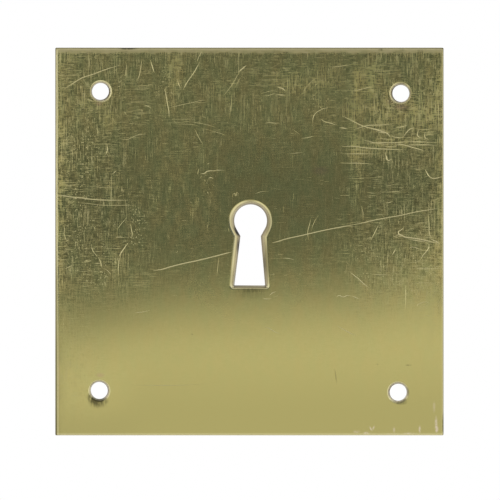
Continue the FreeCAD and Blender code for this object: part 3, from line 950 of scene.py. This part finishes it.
def patch(shade, place, x, z, half_width, half_height, lean=0):
    """1 in the middle of a soft oval in the face and 0 outside it."""
    if lean:
        sockets = {"Vector": place, "Center": (x, 0, z), "Angle": -math.radians(lean)}
        place = shade.node("VectorRotate", {"rotation_type": "Y_AXIS"}, sockets)
    sockets = {0: place, 1: (1 / half_width, 0, 1 / half_height)}
    sockets[2] = (-x / half_width, 0, -z / half_height)
    oval = shade.node("VectorMath", {"operation": "MULTIPLY_ADD"}, sockets)
    return shade.node("VectorMath", {"operation": "LENGTH"}, {0: oval}, "Value").ramp(1, 0.2)


def patches(shade, place, spots):
    """Soft ovals of different strength, added up."""
    total = 0
    for strength, *oval in spots:
        total = patch(shade, place, *oval) * strength + total
    return total


def hairline_web(shade, place):
    """Fine lines, upright in some places and level in others, and a few that slant."""
    upright = hairlines(shade, place, 89.5, 0.22, 3, 0.52, 0.78)
    long_upright = hairlines(shade, place, 91, 0.28, 14, 0.55, 0.8)
    level = hairlines(shade, place, 1, 0.22, 2.5, 0.52, 0.78)
    long_level = hairlines(shade, place, -1, 0.28, 9, 0.55, 0.78)
    slanted = hairlines(shade, place, -24, 0.28, 3, 0.6, 0.8)
    steep = hairlines(shade, place, 64, 0.28, 2.5, 0.6, 0.8)
    upright_share = noise(shade, place, 6, 2).ramp(0.35, 0.6)
    lines = upright.most(long_upright) * upright_share
    lines = lines.most(level.most(long_level) * (1 - upright_share))
    return lines.most(slanted.most(steep) * 0.6)


def cloth_weave(shade, place):
    """The crossing of the very finest lines, upright and level, as a cloth leaves them."""
    upright = hairlines(shade, place, 90, 0.36, 2.2, 0.35, 0.65)
    level = hairlines(shade, place, 0, 0.36, 2.2, 0.35, 0.65)
    return upright + level


def worn_areas(shade, place, x, z):
    """Where the front is worn: its upper part, and there most near the sides and the top."""
    stray = (noise(shade, place, 8, 2) - 0.5) * 26
    left = (x + stray).ramp(-20, -38)
    right = (x + stray).ramp(20, 36)
    top = (z + stray).ramp(16, 40) * 0.6
    upper = (z + stray * 0.4).ramp(-24, -4)
    wear = upper * (left.most(right).most(top) * 0.7 + 0.3)
    return upper, wear.most(x.ramp(-32, -48) * 0.3)


def haze_over(shade, place, x, z):
    """How hazed the front is, in upright clouds: along both sides and in the hazed places."""
    left_wear = z.ramp(36, 26) * z.ramp(-4, 6) * 0.75 + 0.25
    haze = x.ramp(-42, -47.5) * 0.08 + x.ramp(-46.5, -49.2) * 0.8 * left_wear
    haze += x.ramp(38, 47) * 0.08 + x.ramp(46.5, 49.2) * 0.4 * z.ramp(-22, -14)
    haze += patches(shade, place, HAZE)
    return haze * hairlines(shade, place, 89, 1.8, 7, 0.22, 0.74)


def top_rim(shade, place, z):
    """The uneven paler strip along the top edge."""
    streaky = hairlines(shade, place, 0, 0.4, 3, 0.25, 0.6)
    ragged = z + noise(shade, place, 2, 4) * 1.4
    return ragged.ramp(48.5, 50.0) * (streaky * 0.5 + 0.5)


def dirt_and_shade_over(shade, place, x, z, depth):
    """Dirt and painted shade in the listed places, painted shade on the lips, darker at the foot and edges.
    """
    bristly = hairlines(shade, place, 90, 0.5, 2, 0.22, 0.58)
    # dirt, and painted shade along rims and under the keyhole's foot
    dirt_and_shade = patches(shade, place, DIRT_AND_SHADE) * bristly
    # painted shade on the lips round the openings
    dirt_and_shade += patches(shade, place, LIP_SHADE) * depth.ramp(*RIM_DEPTH)
    dirt_and_shade += x.ramp(-47.6, -49.2) * z.ramp(-20, -30) * 0.09
    dirt_and_shade += x.ramp(-24, -40) * z.ramp(-41, -47) * 0.07
    return dirt_and_shade + x.ramp(49.5, 49.8) * 0.6 + z.ramp(49.3, 49.7) * 0.65


def worn_brass():
    """Brass that was polished once, now scratched and hazed, with painted highlights, glints and shade."""
    made, shade = material("worn_brass")
    metres = shade.node("TexCoord", output="Object")
    place = shade.node("VectorMath", {"operation": "SCALE"}, {0: metres, "Scale": 1 / MM})
    x, y, z = (shade.node("SeparateXYZ", sockets={0: place}, output=axis) for axis in "XYZ")
    depth = y - FRONT_Y / MM

    # Wear, and scratches and specks whose lighter colour is partly painted glints
    lines = hairline_web(shade, place)
    weave = cloth_weave(shade, place)
    grain = (weave * 0.5 + noise(shade, place, 0.35, 1) - 1) * 0.5
    upper, wear = worn_areas(shade, place, x, z)
    clusters = noise(shade, place, 2.5, 2).ramp(0.4, 0.6)
    speckled = (patches(shade, place, SPECKLED) + wear * 0.25) * clusters
    specks = noise(shade, place, 0.4, 0).ramp(0.64, 0.74) * speckled
    marks_and_glints = (lines * wear * 0.9 + specks * 1.1).capped()
    rim = top_rim(shade, place, z)
    dull = z.ramp(10, 36) * 0.28
    worn = haze_over(shade, place, x, z) * (lines * 0.9 + weave * 0.55 + 0.15)
    worn = (worn + marks_and_glints * 0.85 + rim * 0.75 + dull + grain * wear * 0.45).capped()

    # The rolled left edge: a painted highlight along it with a darker line outside it, and a painted
    # highlight along the foot
    left_line = x + z.ramp(-15, 5) * 0.22
    edge_dark_line = left_line.ramp(-49.33, -49.46)
    edge_highlight = left_line.ramp(-48.88, -49.08) * (1 - edge_dark_line) * (z.ramp(-15, 5) * 0.5 + 0.35)
    edge_highlight += z.ramp(-49.1, -49.5) * 0.3

    # The colours, each laid over the one before it
    tint = hairlines(shade, place, 88, 3, 6, 0.25, 0.75) - 0.45 + grain * 0.3
    mottle = (tint * (upper * 0.5 + 0.25) + 0.45).capped()
    colour = blend(shade, mottle, COOL_BRASS, WARM_BRASS)
    # painted shade: darker towards the bottom, reaching higher at the left
    bottom_shade = (z + x.ramp(-24, -42) * 8).ramp(-24, -46)
    flecks = patches(shade, place, PALE_STAINS) * noise(shade, place, 0.6, 2).ramp(0.25, 0.6)
    # painted highlights on the lips
    lip_highlights = patches(shade, place, LIP_HIGHLIGHTS) * depth.ramp(*LIP_START) * depth.ramp(*LIP_END)
    # less painted shade on the wall at the keyhole's foot
    keyhole_foot = patch(shade, place, 0.3, -11.7, 5, 1.4)
    # dirt and painted shade, and the darker line outside the left edge
    dirt_and_shade = dirt_and_shade_over(shade, place, x, z, depth) + edge_dark_line * 0.75
    layers = (
        # bare brass and painted glints on the scratches and specks
        (marks_and_glints + weave * 0.05, BARE_AND_GLINT_BRASS),
        (grain * wear * -1.6, DARK_BROWN),
        (rim, RIM_BRASS),
        (patches(shade, place, STAINS), STAIN_BROWN),
        # painted shade towards the bottom
        (bottom_shade, BOTTOM_SHADE_BRASS),
        (flecks, PALE_STAIN),
        # painted highlight on the left edge and the foot
        (edge_highlight, HIGHLIGHT_BRASS),
        (depth.ramp(*GROOVE_DEPTH), GROOVE_BRASS),
        (depth.ramp(*LIP_DEPTH), LIP_BRASS),
        # painted highlights on the lips
        (lip_highlights, HIGHLIGHT_BRASS),
        # painted shade on the walls of the openings, less at the keyhole's foot, darkest deep down
        (depth.ramp(*WALL_DEPTH) * (1 - keyhole_foot * 0.8), SHADED_WALL_BRASS),
        (depth.ramp(*DEEP_DEPTH), SHADED_DEEP_BRASS),
        # dirt and painted shade
        (dirt_and_shade, DARK_BROWN),
        # painted black shade deeper in the keyhole's wall
        (patches(shade, place, WALL_SHADE) * depth.ramp(*DARK_WALL_DEPTH), BLACK_SHADE),
    )
    for share, coat in layers:
        colour = blend(shade, share.capped(), colour, coat)

    height = noise(shade, place, 9, 1) * WAVE_HEIGHT + marks_and_glints * MARK_HEIGHT
    normal = shade.node("Bump", sockets={"Strength": 1.0, "Distance": MM, "Height": height})
    roughness = worn * HAZED_ROUGHNESS + POLISHED_ROUGHNESS
    sockets = {"Base Color": colour, "Metallic": 1.0, "Roughness": roughness, "Normal": normal}
    surface = shade.node("BsdfPrincipled", sockets=sockets)
    shade.node("OutputMaterial", sockets={"Surface": surface})
    return made


bpy.context.scene.view_settings.view_transform = "Standard"
bpy.ops.object.select_all(action="DESELECT")
photo_camera()
studio_light()
floor()
dark_card()
overhead_card()
escutcheon_plate()
